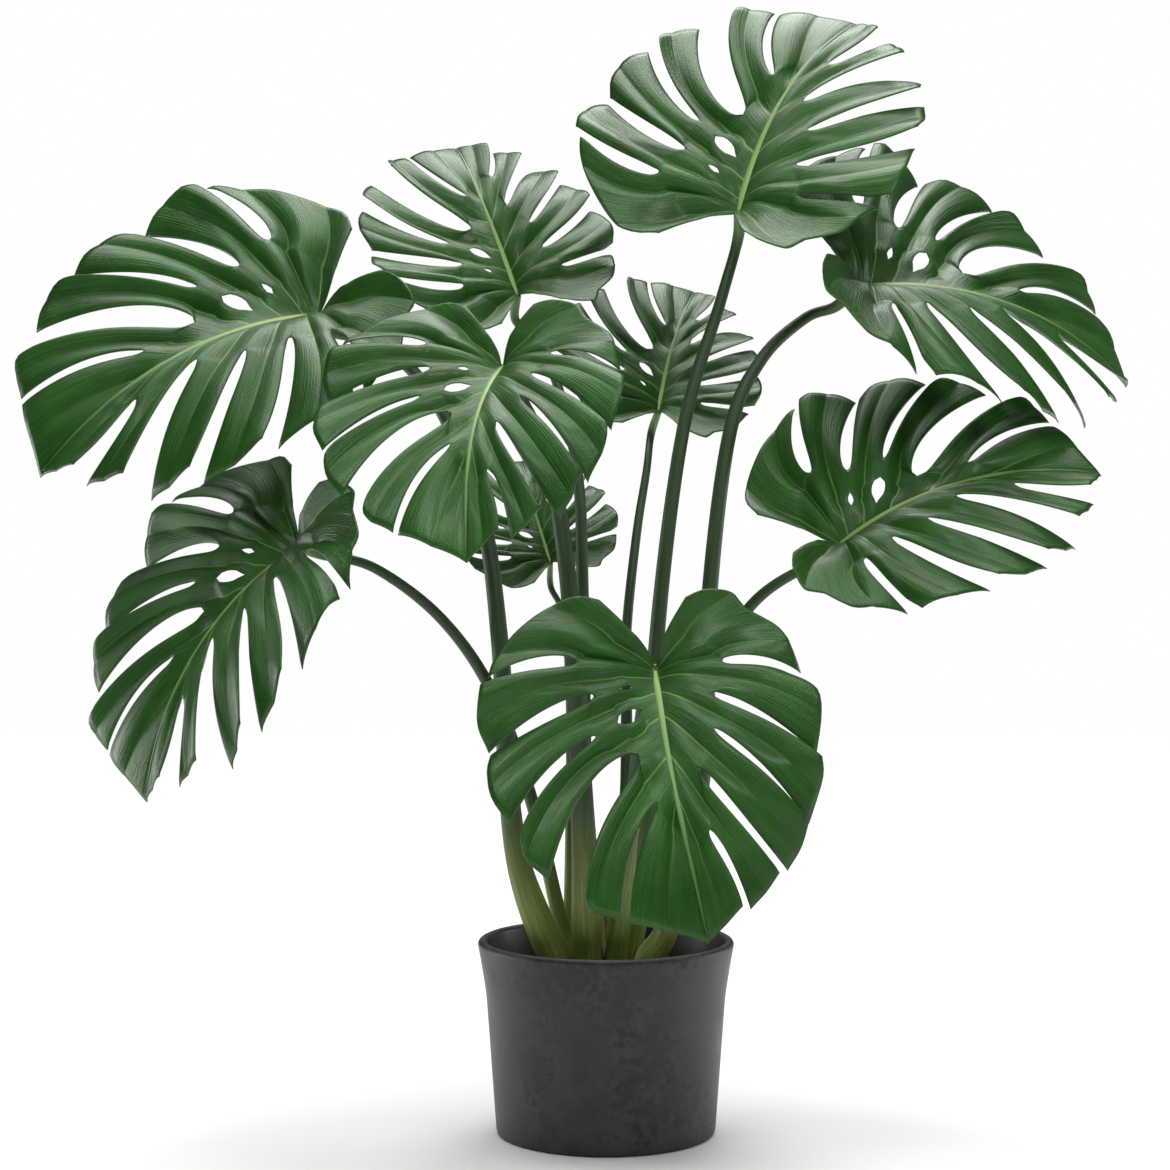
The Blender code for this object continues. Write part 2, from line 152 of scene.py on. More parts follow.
# Each leaf: name, stalk joint, tip, turn about the line between them in degrees, mirrored,
# the stalk's radius at the joint and at the soil, and its route from the soil up
LEAVES = [
    ("top", (0.132, 0.000, 0.920), (0.265, 0.143, 1.135), -27, False, 0.0048, 0.0110,
     [(0.026, 0.002, 0.17), (0.045, -0.004, 0.32), (0.051, -0.004, 0.50), (0.077, 0.0, 0.705),
      (0.115, 0.012, 0.835)]),
    ("upper_right", (0.252, 0.030, 0.848), (0.545, 0.115, 0.755), -53, False, 0.0048, 0.0120,
     [(0.044, -0.024, 0.17), (0.066, -0.022, 0.22), (0.096, -0.012, 0.365), (0.104, 0.0, 0.546),
      (0.125, 0.012, 0.706), (0.157, 0.025, 0.777), (0.202, 0.045, 0.819)]),
    ("right", (0.228, -0.050, 0.590), (0.488, -0.035, 0.661), -47, False, 0.0044, 0.0090,
     [(0.012, 0.030, 0.17), (0.028, 0.040, 0.25), (0.067, 0.040, 0.37), (0.110, 0.022, 0.471),
      (0.148, -0.004, 0.533), (0.195, -0.018, 0.566)]),
    ("front", (0.044, -0.200, 0.478), (0.088, -0.319, 0.245), -10, True, 0.0048, 0.0105,
     [(0.010, -0.036, 0.17), (0.018, -0.045, 0.25), (0.028, -0.070, 0.36), (0.034, -0.110, 0.435)]),
    ("middle", (-0.099, -0.140, 0.760), (-0.126, -0.302, 0.581), 13, True, 0.0048, 0.0145,
     [(-0.018, -0.034, 0.17), (-0.022, -0.036, 0.28), (-0.028, -0.040, 0.42), (-0.038, -0.044, 0.56),
      (-0.056, -0.055, 0.67), (-0.084, -0.080, 0.735)]),
    ("upper_left", (-0.091, 0.100, 0.847), (-0.161, 0.230, 1.017), 24, False, 0.0040, 0.0090,
     [(-0.016, 0.020, 0.17), (-0.020, 0.022, 0.35), (-0.023, 0.032, 0.53), (-0.027, 0.050, 0.65),
      (-0.045, 0.075, 0.74), (-0.070, 0.100, 0.80)]),
    ("left", (-0.287, 0.010, 0.819), (-0.548, -0.088, 0.659), 40, True, 0.0052, 0.0145,
     [(-0.052, -0.030, 0.17), (-0.076, -0.032, 0.235), (-0.090, -0.031, 0.29), (-0.098, -0.028, 0.37),
      (-0.106, -0.024, 0.50), (-0.124, -0.005, 0.62), (-0.168, 0.016, 0.73), (-0.224, 0.030, 0.79)]),
    ("lower_left", (-0.295, -0.100, 0.589), (-0.434, -0.170, 0.353), 51, True, 0.0046, 0.0090,
     [(-0.038, 0.008, 0.17), (-0.048, 0.012, 0.22), (-0.074, 0.015, 0.33), (-0.113, 0.002, 0.441),
      (-0.163, -0.022, 0.517), (-0.226, -0.052, 0.568)]),
    ("back", (0.056, 0.140, 0.728), (0.100, 0.263, 0.864), -1, False, 0.0036, 0.0085,
     [(-0.003, 0.002, 0.17), (0.009, 0.009, 0.25), (0.020, 0.018, 0.33), (0.021, 0.026, 0.42),
      (0.021, 0.036, 0.50), (0.032, 0.070, 0.60), (0.043, 0.110, 0.665)]),
    ("low_back", (-0.057, 0.110, 0.570), (-0.090, 0.211, 0.678), 15, False, 0.0028, 0.0060,
     [(-0.038, 0.038, 0.17), (-0.036, 0.050, 0.32), (-0.037, 0.078, 0.44), (-0.044, 0.110, 0.515)]),
]
STALK_STEPS = 12  # between route points
STALK_SIDES = 28
STALK_NECK = 0.028
STALK_SINK = 0.006  # how deep the foot of a stalk lies in the mix
KNEE_SWELL = 0.16  # the swelling just below the blade
KNEE_PLACE = 0.02
KNEE_LENGTH = 0.016
SHEATH_END = 0.30  # share of the stalk, from the soil up, where the sheath has run out
SHEATH_FADE = 0.26
WING_ANGLE = 0.85  # of the sheath's two edges, either side of its groove
WING_TURN = 0.135  # that angle as a share of a turn
WING_HEIGHT = 0.42
WING_WIDTH = 0.17
GROOVE_WIDTH = 0.55

# Midrib and veins, in lengths of the leaf
MIDRIB_WIDTHS = (0.0185, 0.0016)  # half, at the joint and at the tip
VEIN_WIDTHS = (0.0042, 0.0012)
RIB_SIDES = 10
RIB_SINK = 0.0012  # how far the ribs lie below the face of the blade
MIDRIB_STEPS = 60
MIDRIB_END = 0.985  # the midrib stops just short of the tip
VEIN_END = 0.93  # share of the way out at which a vein stops
SCAR_RADIUS = 0.0030


# Camera and lights
EYE = (-0.021, -2.60, 0.635)
LOOK_DOWN = 1.87  # degrees
LENS = 80
SENSOR = 36
AIM = (0, 0, 0.65)
LAMPS = (  # name, place, power, width
    ("key", (-0.6, -1.7, 2.6), 15, 0.8),
    ("crown", (0.3, 1.3, 2.6), 10, 1.0),
    ("fill", (1.3, -1.6, 2.1), 13, 0.6),
    ("front", (0.15, -1.55, 1.85), 8, 0.45),
    ("left edge", (-1.9, 0.5, 0.5), 9, 0.7),
    ("right edge", (1.9, 0.6, 0.5), 7, 0.7),
)
SUN_POWER = 3.25
SUN_WIDTH = 56  # degrees
SUN_TILT = -14
AROUND = 0.09  # what the white surroundings give as light


# ---------------------------------------------------------------- materials


def linear(hex_colour):
    """An sRGB hex colour as the linear RGBA that a shader takes."""
    channels = [int(hex_colour[n:n + 2], 16) / 255 for n in (1, 3, 5)]
    return (*(c / 12.92 if c <= 0.04045 else ((c + 0.055) / 1.055) ** 2.4 for c in channels), 1.0)


def new_material(name):
    mat = bpy.data.materials.new(name)
    mat.use_nodes = True
    return mat, mat.node_tree, mat.node_tree.nodes["Principled BSDF"]


def add(tree, kind, links=(), inputs=(), **settings):
    """One node: its settings, its input values by name or number, and what feeds its inputs."""
    node = tree.nodes.new("ShaderNode" + kind)
    for key, value in settings.items():
        setattr(node, key, value)
    for key, value in dict(inputs).items():
        node.inputs[key].default_value = value
    for key, socket in dict(links).items():
        tree.links.new(socket, node.inputs[key])
    return node


def ramp(tree, factor, stops):
    """A colour ramp of (place, hex colour) stops."""
    node = add(tree, "ValToRGB", {"Fac": factor})
    elements = node.color_ramp.elements
    while len(elements) < len(stops):
        elements.new(0.5)
    for element, (place, colour) in zip(elements, stops):
        element.position = place
        element.color = linear(colour)
    return node.outputs["Color"]


def cloud_noise(tree, vector, scale, detail, roughness=0.5):
    """The value of a noise texture."""
    values = {"Scale": scale, "Detail": detail, "Roughness": roughness}
    return add(tree, "TexNoise", {"Vector": vector}, values).outputs["Fac"]


def tint(tree, factor, colour, laid_over):
    """A colour, with a hex colour laid over it by the factor."""
    node = add(tree, "Mix", {"Factor": factor, "A": colour}, data_type="RGBA")
    node.inputs["B"].default_value = linear(laid_over)
    return node.outputs["Result"]


def relieve(tree, shader, height_map, strength, distance):
    """Gives the surface a fine relief."""
    bump = add(tree, "Bump", {"Height": height_map}, {"Strength": strength, "Distance": distance})
    tree.links.new(bump.outputs["Normal"], shader.inputs["Normal"])


def blade_material():
    """Living monstera blade: deep green, with a waxy cuticle that gives a broad, soft sheen."""
    mat, tree, shader = new_material("waxy_monstera_blade")
    flat = add(tree, "UVMap", uv_map="flat").outputs["UV"]
    lobe = add(tree, "UVMap", uv_map="lobe").outputs["UV"]
    vein = add(tree, "Attribute", attribute_name="vein").outputs["Fac"]
    place = add(tree, "TexCoord").outputs["Object"]
    # Cloudy patches of 60 mm, where the leaf holds more or less chlorophyll
    patches = cloud_noise(tree, place, 16.0, 3.0)
    # Fine side veins, which run out with the lobe 2 mm apart
    stretched = add(tree, "Mapping", {"Vector": lobe}, {"Scale": (3.0, 26.0, 1.0)}).outputs["Vector"]
    streaks = cloud_noise(tree, stretched, 1.0, 4.0, 0.6)
    mixed = add(tree, "Math", {0: patches, 1: streaks}, operation="ADD").outputs[0]
    mixed = add(tree, "Math", {0: mixed}, {1: 0.5}, operation="MULTIPLY").outputs[0]
    green = ramp(tree, mixed, [(0.34, "#163a0e"), (0.5, "#204816"), (0.66, "#2d5b20")])
    tree.links.new(tint(tree, vein, green, "#7d9f55"), shader.inputs["Base Color"])
    # Leaf cells, 0.5 mm, drawn at 1.2 mm so that they show
    cells = cloud_noise(tree, place, 800.0, 1.0)
    rough = add(tree, "MapRange", {"Value": patches}, {"To Min": 0.27, "To Max": 0.40}).outputs["Result"]
    tree.links.new(rough, shader.inputs["Roughness"])
    relief = add(tree, "Math", {0: streaks, 2: cells}, {1: 3.0}, operation="MULTIPLY_ADD").outputs[0]
    relieve(tree, shader, relief, 0.45, 0.0008)
    shader.inputs["IOR"].default_value = 1.45
    shader.inputs["Specular IOR Level"].default_value = 0.5
    shader.inputs["Specular Tint"].default_value = linear("#c4e4b8")
    shader.inputs["Coat Weight"].default_value = 0.22
    shader.inputs["Coat Roughness"].default_value = 0.22
    shader.inputs["Coat IOR"].default_value = 1.4
    return mat


def rib_material():
    """Midrib and veins: smooth yellow-green tissue, paler near the stalk."""
    mat, tree, shader = new_material("pale_leaf_rib")
    run = add(tree, "UVMap", uv_map="run").outputs["UV"]
    share = add(tree, "SeparateXYZ", {"Vector": run}).outputs["X"]
    green = ramp(tree, share, [(0.0, "#86a655"), (0.45, "#658841"), (1.0, "#2f5226")])
    tree.links.new(green, shader.inputs["Base Color"])
    shader.inputs["Roughness"].default_value = 0.42
    stretched = add(tree, "Mapping", {"Vector": run}, {"Scale": (8.0, 9.0, 1.0)}).outputs["Vector"]
    fibres = cloud_noise(tree, stretched, 2.0, 3.0)
    relieve(tree, shader, fibres, 0.2, 0.0004)
    return mat


def stalk_material():
    """Monstera leaf stalk: firm dark green skin, streaked lengthwise, olive and fibrous at the sheath."""
    mat, tree, shader = new_material("streaked_leaf_stalk")
    run = add(tree, "UVMap", uv_map="run").outputs["UV"]
    place = add(tree, "TexCoord").outputs["Object"]
    share = add(tree, "SeparateXYZ", {"Vector": run}).outputs["X"]
    rise = add(tree, "SeparateXYZ", {"Vector": place}).outputs["Z"]
    stretched = add(tree, "Mapping", {"Vector": run}, {"Scale": (6.0, 14.0, 1.0)}).outputs["Vector"]
    streaks = cloud_noise(tree, stretched, 1.6, 5.0, 0.6)
    upper = ramp(tree, streaks, [(0.3, "#1a3013"), (0.55, "#253f1b"), (0.75, "#365328")])
    lower = ramp(tree, streaks, [(0.3, "#5a6e2c"), (0.5, "#768639"), (0.75, "#9ba75a")])
    low = add(tree, "MapRange", {"Value": rise},
              {"From Min": 0.36, "From Max": 0.20}, interpolation_type="SMOOTHSTEP").outputs["Result"]
    colour = add(tree, "Mix", {"Factor": low, "A": upper, "B": lower}, data_type="RGBA").outputs["Result"]
    # The thin, dry edges of the sheath, on both sides of its groove
    around = add(tree, "SeparateXYZ", {"Vector": run}).outputs["Y"]
    wrapped = add(tree, "Math", {0: around}, {1: 0.5, 2: 0.0}, operation="PINGPONG").outputs[0]
    off_wing = add(tree, "Math", {0: wrapped}, {1: WING_TURN}, operation="SUBTRACT").outputs[0]
    off_wing = add(tree, "Math", {0: off_wing}, operation="ABSOLUTE").outputs[0]
    edge = add(tree, "MapRange", {"Value": off_wing},
               {"From Min": 0.022, "From Max": 0.008}).outputs["Result"]
    edge = add(tree, "Math", {0: edge, 1: low}, operation="MULTIPLY").outputs[0]
    colour = tint(tree, edge, colour, "#a3a777")
    near_leaf = add(tree, "MapRange", {"Value": share},
                    {"From Min": 0.93, "From Max": 1.0}, interpolation_type="SMOOTHSTEP").outputs["Result"]
    tree.links.new(tint(tree, near_leaf, colour, "#5c8245"), shader.inputs["Base Color"])
    rough = add(tree, "MapRange", {"Value": streaks}, {"To Min": 0.4, "To Max": 0.6}).outputs["Result"]
    tree.links.new(rough, shader.inputs["Roughness"])
    relieve(tree, shader, streaks, 0.35, 0.0008)
    return mat


def planter_material():
    """Cast charcoal stoneware: matte, with cloudy mottling and a fine sandy tooth."""
    mat, tree, shader = new_material("matte_charcoal_stoneware")
    place = add(tree, "TexCoord").outputs["Object"]
    clouds = cloud_noise(tree, place, 26.0, 6.0, 0.62)
    colour = ramp(tree, clouds, [(0.40, "#1e1e1d"), (0.5, "#2a2a29"), (0.60, "#333331")])
    # Dark flecks of 3 to 8 mm, thicker in some places than in others
    flecks = cloud_noise(tree, place, 120.0, 3.0, 0.55)
    crowd = cloud_noise(tree, place, 11.0, 1.0)
    thick = add(tree, "Math", {0: flecks, 1: crowd}, operation="ADD").outputs[0]
    thick = add(tree, "MapRange", {"Value": thick}, {"From Min": 1.06, "From Max": 1.22}).outputs["Result"]
    tree.links.new(tint(tree, thick, colour, "#171716"), shader.inputs["Base Color"])
    rough = add(tree, "MapRange", {"Value": clouds},
                {"From Min": 0.3, "From Max": 0.7, "To Min": 0.40, "To Max": 0.56}).outputs["Result"]
    tree.links.new(rough, shader.inputs["Roughness"])
    # Sand grains of 0.4 mm, drawn at 1 mm so that they show
    grains = cloud_noise(tree, place, 900.0, 2.0)
    relief = add(tree, "Math", {0: clouds, 2: grains}, {1: 4.0}, operation="MULTIPLY_ADD").outputs[0]
    relieve(tree, shader, relief, 0.3, 0.0004)
    return mat


def mix_material():
    """Damp peat-based potting mix: crumbly, almost black brown, with no shine."""
    mat, tree, shader = new_material("damp_potting_mix")
    place = add(tree, "TexCoord").outputs["Object"]
    crumbs = cloud_noise(tree, place, 260.0, 6.0, 0.7)
    colour = ramp(tree, crumbs, [(0.35, "#17120e"), (0.55, "#2a2019"), (0.72, "#453528")])
    tree.links.new(colour, shader.inputs["Base Color"])
    shader.inputs["Roughness"].default_value = 0.95
    shader.inputs["Specular IOR Level"].default_value = 0.2
    relieve(tree, shader, crumbs, 0.8, 0.002)
    return mat


def bark_material():
    """Composted pine bark: dull red-brown chips with a fibrous grain."""
    mat, tree, shader = new_material("composted_bark")
    place = add(tree, "TexCoord").outputs["Object"]
    tone = cloud_noise(tree, place, 60.0, 2.0)
    grain = cloud_noise(tree, place, 700.0, 3.0)
    colour = ramp(tree, tone, [(0.35, "#241a13"), (0.5, "#3a2a1e"), (0.65, "#54402e")])
    tree.links.new(colour, shader.inputs["Base Color"])
    shader.inputs["Roughness"].default_value = 0.85
    relieve(tree, shader, grain, 0.5, 0.0008)
    return mat


def paper_material():
    """White backdrop paper, rolled out on the floor, with the plant's soft shadow painted on it as a greyer
    pool in front of the plant.
    """
    mat, tree, shader = new_material("white_backdrop_paper")
    place = add(tree, "TexCoord").outputs["Object"]
    # Painted shadow: the paper is greyer within 0.6 m of a spot 0.5 m in front of the pot, and fully white
    # again from 0.9 m
    away = add(tree, "VectorMath", {0: place}, {1: (0.0, -0.5, 0.0)}, operation="DISTANCE").outputs["Value"]
    outside_painted_shadow = add(tree, "MapRange", {"Value": away}, {"From Min": 0.6, "From Max": 0.9}).outputs["Result"]
    tree.links.new(ramp(tree, outside_painted_shadow, [(0.0, "#e3e3e2"), (1.0, "#f6f6f5")]), shader.inputs["Base Color"])
    shader.inputs["Roughness"].default_value = 0.9
    shader.inputs["Specular IOR Level"].default_value = 0.1
    return mat


# ---------------------------------------------------------------- curves and meshes


def smooth_path(points, steps):
    """A Catmull-Rom curve through the points, with this many steps between each two."""
    points = [Vector(p) for p in points]
    ends = [2 * points[0] - points[1], *points, 2 * points[-1] - points[-2]]
    path = [points[0]]
    for before, start, end, after in zip(ends, ends[1:], ends[2:], ends[3:]):
        for step in range(1, steps + 1):
            t = step / steps
            path.append(
                0.5 * (2 * start + (end - before) * t
                       + (2 * before - 5 * start + 4 * end - after) * t**2
                       + (3 * start - before - 3 * end + after) * t**3)
            )
    return path


def along(path, share):
    """The point this share of the way along a polyline."""
    lengths = [(b - a).length for a, b in zip(path, path[1:])]
    left = share * sum(lengths)
    for start, end, length in zip(path, path[1:], lengths):
        if left <= length:
            return start.lerp(end, left / length)
        left -= length
    return path[-1]


def smoothstep(value):
    value = min(1, max(0, value))
    return value * value * (3 - 2 * value)


def outward(mesh):
    """Turns every face of closed shells outwards."""
    shell = bmesh.new()
    shell.from_mesh(mesh)
    bmesh.ops.recalc_face_normals(shell, faces=shell.faces)
    shell.to_mesh(mesh)
    shell.free()
    return mesh


def add_tube(tubes, rings, shares):
    """Skins one tube's rings of points and caps its ends.

    Its U is the share of the way along it, which is given for each ring, and its V runs round it.
    """
    verts, faces, uvs = tubes
    sides = len(rings[0])
    index = []
    for ring in rings:
        index.append(list(range(len(verts), len(verts) + sides)))
        verts.extend(ring)
    for n, (low, high) in enumerate(zip(index, index[1:])):
        for side in range(sides):
            after = (side + 1) % sides
            faces.append([low[side], low[after], high[after], high[side]])
            for step, turn in ((n, side), (n, side + 1), (n + 1, side + 1), (n + 1, side)):
                uvs.append((shares[step], turn / sides))
    for ring, share in ((index[0], 0.0), (index[-1], 1.0)):
        faces.append(ring)
        uvs.extend((share, side / sides) for side in range(sides))


def tube_mesh(name, tubes):
    verts, faces, uvs = tubes
    mesh = bpy.data.meshes.new(name)
    mesh.from_pydata(verts, [], faces)
    run = mesh.uv_layers.new(name="run")
    for n, uv in enumerate(uvs):
        run.data[n].uv = uv
    return outward(mesh)


def taken_mesh():
    """The mesh of the object that an operator has just made, which is dropped."""
    obj = bpy.context.object
    mesh = obj.data
    bpy.data.objects.remove(obj)
    return mesh


def finished(name, mesh, mat, node):
    """Links a finished mesh as a piece of the plant."""
    obj = bpy.data.objects.new(name, mesh)
    bpy.context.scene.collection.objects.link(obj)
    mesh.materials.clear()
    mesh.materials.append(mat)
    mesh.shade_smooth()
    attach(obj, "root")
    if node:
        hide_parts(node)
    return obj


# ---------------------------------------------------------------- the blade


def midrib(y):
    return Vector((MIDRIB_BOW * math.sin(math.pi * max(y, 0)), y, 0))


def height(half, x, y):
    """How far the blade stands above the flat through the joint and the tip."""
    ahead = max(y, 0)
    out = abs(x - midrib(ahead).x)
    stretch = DIMPLE_STRETCH if y > 0 else 1
    z = DOME * (1 - math.exp(-math.hypot(out, y * stretch) / DIMPLE)) - TIP_DROOP * ahead**DROOP_POWER
    z += half["lift"] * (1 - min(ahead, 1)) * (1 - math.exp(-out / LIFT_REACH))
    fall = half["fall"] + half["fall_grows"] * max(0, ahead - FALL_GROWS_FROM)
    return z - fall * out**2 * min(1, ahead / FALL_REACH)


def slit_edges(half, number):
    """The two edges, from the midrib out, of a slit: one for the lobe below, one for the one above."""
    inner, tip, shoulder, half_width, hole = half["slits"][number]
    side = half["side"]
    start = midrib(SLIT_STARTS[number])
    inner, tip, shoulder = (Vector((side * x, y, rise)) for x, y, rise in (inner, tip, shoulder))
    way = (inner - start).to_2d().normalized().to_3d()
    across = Vector((-way.y, way.x, 0)) * side
    first, last, hole_width = hole or (0.35, 0.65, 0.0)
    below, above = [], []
    for k in range(JOINED_STEPS + 1):
        share = k / JOINED_STEPS
        inside = (share - first) / (last - first)
        opening = hole_width * math.sqrt(max(0, 1 - (2 * inside - 1) ** 2)) if 0 < inside < 1 else 0
        centre = start.lerp(inner, share)
        below.append(centre - across * opening)
        above.append(centre + across * opening)
    for end, edge, sign in ((tip, below, -1), (shoulder, above, 1)):
        bend = inner + way * (end - inner).length / 2
        bend.z = inner.z * (1 - SLIT_BEND_RISE) + end.z * SLIT_BEND_RISE
        for k in range(1, FREE_STEPS + 1):
            s = (k / FREE_STEPS) ** STEP_CROWDING
            if s < SLIT_WIDEST:
                opening = math.sqrt(1 - (1 - s / SLIT_WIDEST) ** 2)
            else:
                opening = math.cos(math.pi / 2 * (s - SLIT_WIDEST) / (1 - SLIT_WIDEST))
            if edge is above:
                opening *= (1 - s) ** half["closing"]
            point = inner * (1 - s) ** 2 + bend * 2 * s * (1 - s) + end * s**2
            edge.append(point + across * sign * half_width * opening)
    return below, above


def across_lobe(number):
    """The steps across a lobe, as (share of the way across, place among the veins)."""
    bounds = BASAL_VEINS if number == 0 else (0.0, 1.0)
    steps = []
    for n, (low, high) in enumerate(zip(bounds, bounds[1:])):
        steps += [(low + (high - low) * v, n + v) for v in VEIN_STEPS]
    return [*steps, (1.0, len(bounds) - 1.0)]


def lobe_grid(half, number, low, high, start, margin):
    """A lobe's points between its two long edges, fitted to its start on the midrib and its margin.

    Each is (x, y, z, share of the way out, place among the veins, paleness of the vein).
    """
    last = len(low) - 1
    rows = []
    for t, vein in across_lobe(number):
        begin, end = along(start, t), along(margin, t)
        beside = abs(vein % 1 - 0.5) * 2
        row = []
        for k, (a, b) in enumerate(zip(low, high)):
            s = k / last
            corners = (
                (low[0] * (1 - t) + high[0] * t) * (1 - s) + (low[-1] * (1 - t) + high[-1] * t) * s
            )
            x, y, rise = a * (1 - t) + b * t + begin * (1 - s) + end * s - corners
            free = max(0, (k - JOINED_STEPS) / FREE_STEPS)
            z = height(half, x, y) + rise
            # The blade is folded along each vein, and its free edges turn under
            grown = smoothstep(s / CREASE_GROWN) * (1 - 0.5 * s)
            z -= half["crease"] * grown * (1 - beside) ** CREASE_CURVE * min(1, 1.2 - free * 0.4)
            if free > 0:
                z -= EDGE_CURL * smoothstep(free * 5) * (
                    math.exp(-t / CURL_WIDTH) + math.exp(-(1 - t) / CURL_WIDTH))
            if k == last:
                z -= EDGE_CURL * 0.5
            pale = max(0, 1 - beside / PALE_WIDTH) * (1 - s) ** 2
            row.append((x, y, z, s, vein, pale))
        rows.append(row)
    return rows


def half_blade(half):
    """The grid of points of each lobe of one half."""
    side = half["side"]
    count = JOINED_STEPS + FREE_STEPS
    sinus = smooth_path([(side * x, y, rise) for x, y, rise in half["sinus"]], 8)
    edges = [slit_edges(half, n) for n in range(len(SLIT_STARTS))]
    lows = [[along(sinus, k / count) for k in range(count + 1)]] + [above for below, above in edges]
    highs = [below for below, above in edges]
    highs.append([midrib(TERMINAL_START + (1 - TERMINAL_START) * k / count) for k in range(count + 1)])
    starts = [0.0, *SLIT_STARTS, TERMINAL_START]
    grids = []
    for n in range(len(lows)):
        start = [midrib(starts[n] + (starts[n + 1] - starts[n]) * t / 4) for t in range(5)]
        inner = [Vector((side * x, y, rise)) for x, y, rise in half["margins"][n]]
        ends = [lows[n][-1], *inner, highs[n][-1]]
        grids.append(lobe_grid(half, n, lows[n], highs[n], start, smooth_path(ends, 8)))
    return grids


def unit_blade():
    """The upper surface of a blade: its joint at the origin, its tip along +Y, its face +Z.

    It also gives the lines of the midrib and the veins.
    """
    verts, faces, uvs, pales, found, veins = [], [], [], [], {}, []
    for half in (HOLED_HALF, PLAIN_HALF):
        for number, grid in enumerate(half_blade(half)):
            index = []
            for row in grid:
                index.append([])
                for x, y, z, s, vein, pale in row:
                    key = (round(x, 5), round(y, 5))
                    if key not in found:
                        found[key] = len(verts)
                        verts.append(Vector((x, y, z)))
                        pales.append(pale)
                    index[-1].append(found[key])
                if abs(row[0][4] % 1 - 0.5) < 0.001:
                    veins.append([Vector(point[:3]) for point in row])
            for m, (low, high) in enumerate(zip(index, index[1:])):
                for k in range(len(low) - 1):
                    corners = [(m, k), (m, k + 1), (m + 1, k + 1), (m + 1, k)]
                    if half["side"] < 0:
                        corners.reverse()
                    kept = {index[i][j]: (i, j) for i, j in corners}
                    if len(kept) < 3:
                        continue
                    faces.append(list(kept))
                    for i, j in kept.values():
                        point = grid[i][j]
                        uvs.append((point[0], point[1], point[3], number + point[4] * 0.999))
    mesh = bpy.data.meshes.new("unit_blade")
    mesh.from_pydata(verts, [], faces)
    flat = mesh.uv_layers.new(name="flat")
    lobe = mesh.uv_layers.new(name="lobe")
    for n, (x, y, s, v) in enumerate(uvs):
        flat.data[n].uv = (x, y)
        lobe.data[n].uv = (s, v)
    pale = mesh.attributes.new("vein", "FLOAT", "POINT")
    pale.data.foreach_set("value", pales)
    return mesh, veins


def ribs_mesh(veins, mirrored, length):
    """The midrib, proud of both faces of the blade, and the veins, proud of its underside."""
    spine = []
    for n in range(MIDRIB_STEPS + 1):
        at = midrib(n / MIDRIB_STEPS * MIDRIB_END)
        spine.append(Vector((at.x, at.y, height(HOLED_HALF, at.x, at.y))))
    lines = [(spine, MIDRIB_WIDTHS, 0.36, 0.75)]
    for vein in veins:
        lines.append((vein[: int(len(vein) * VEIN_END)], VEIN_WIDTHS, 0.0, 1.0))
    tubes = ([], [], [])
    flip = -1 if mirrored else 1
    for line, (wide, thin), above, below in lines:
        shares = [n / (len(line) - 1) for n in range(len(line))]
        rings = []
        for n, (centre, share) in enumerate(zip(line, shares)):
            ahead = (line[min(n + 1, len(line) - 1)] - line[max(n - 1, 0)]).normalized()
            across = ahead.cross(Vector((0, 0, 1))).normalized()
            up = across.cross(ahead)
            half_width = thin + (wide - thin) * (1 - share) ** 0.8
            ring = []
            for side in range(RIB_SIDES):
                angle = 2 * math.pi * side / RIB_SIDES
                rise = math.sin(angle) * half_width
                rise *= above if rise > 0 else below
                point = centre + across * math.cos(angle) * half_width + up * (rise - RIB_SINK)
                ring.append(Vector((flip * point.x, point.y, point.z)) * length)
            rings.append(ring)
        add_tube(tubes, rings, shares)
    return tube_mesh("ribs", tubes)


def leaf_frame(joint, tip, turn):
    """The leaf's axes in the world: +Y from the joint to the tip, +Z out of its face."""
    ahead = (tip - joint).normalized()
    front = Vector((0, -1, 0))
    face = (front - ahead * front.dot(ahead)).normalized()
    face.rotate(Matrix.Rotation(math.radians(turn), 3, ahead))
    axes = Matrix((ahead.cross(face), ahead, face)).transposed().to_4x4()
    return Matrix.Translation(joint) @ axes


def build_leaf(unit, veins, name, joint, tip, turn, mirrored, blade_mat, rib_mat):
    length = (tip - joint).length
    pose = leaf_frame(joint, tip, turn)
    mesh = unit.copy()
    mesh.transform(pose @ Matrix.Diagonal((-length if mirrored else length, length, length, 1)))
    if mirrored:
        mesh.flip_normals()
    blade = finished("blade_" + name, mesh, blade_mat, "leaf_" + name)
    solid = blade.modifiers.new("thickness", "SOLIDIFY")
    solid.thickness = BLADE_THICKNESS
    solid.offset = -1
    apply_modifiers(blade)
    ribs = ribs_mesh(veins, mirrored, length)
    ribs.transform(pose)
    finished("ribs_" + name, ribs, rib_mat, None)
    return pose


def finish_scar(name, pose, mat):
    mesh = taken_mesh()
    mesh.uv_layers[0].name = "run"
    mesh.transform(pose @ Matrix.Translation((0, -SCAR_RADIUS * 0.4, SCAR_RADIUS * 0.5)))
    finished(name, outward(mesh), mat, None)


def build_joint_scar(pose, rib_mat, bark_and_pit_shade_mat):
    """The pale ring where the veins of the front leaf meet its stalk, round a flattened dark ball of the bark
    material that paints the shade in the dimple inside it.
    """
    bpy.ops.object.select_all(action="DESELECT")
    bpy.ops.mesh.primitive_torus_add(
        major_segments=32, minor_segments=12, major_radius=SCAR_RADIUS, minor_radius=SCAR_RADIUS * 0.36)
    finish_scar("scar_ring", pose, rib_mat)
    # Painted shade: a flattened ball of the dark bark material stands in for the shade inside the ring
    bpy.ops.mesh.primitive_uv_sphere_add(segments=24, ring_count=12, radius=SCAR_RADIUS * 0.8)
    bpy.ops.transform.resize(value=(1, 1, 0.3))
    bpy.ops.object.transform_apply(location=False, rotation=False, scale=True)
    finish_scar("painted_shade_pit", pose, bark_and_pit_shade_mat)


def apply_modifiers(obj):
    bpy.ops.object.select_all(action="DESELECT")
    obj.select_set(True)
    bpy.context.view_layer.objects.active = obj
    for modifier in list(obj.modifiers):
        bpy.ops.object.modifier_apply(modifier=modifier.name)
    obj.select_set(False)


# ---------------------------------------------------------------- stalks


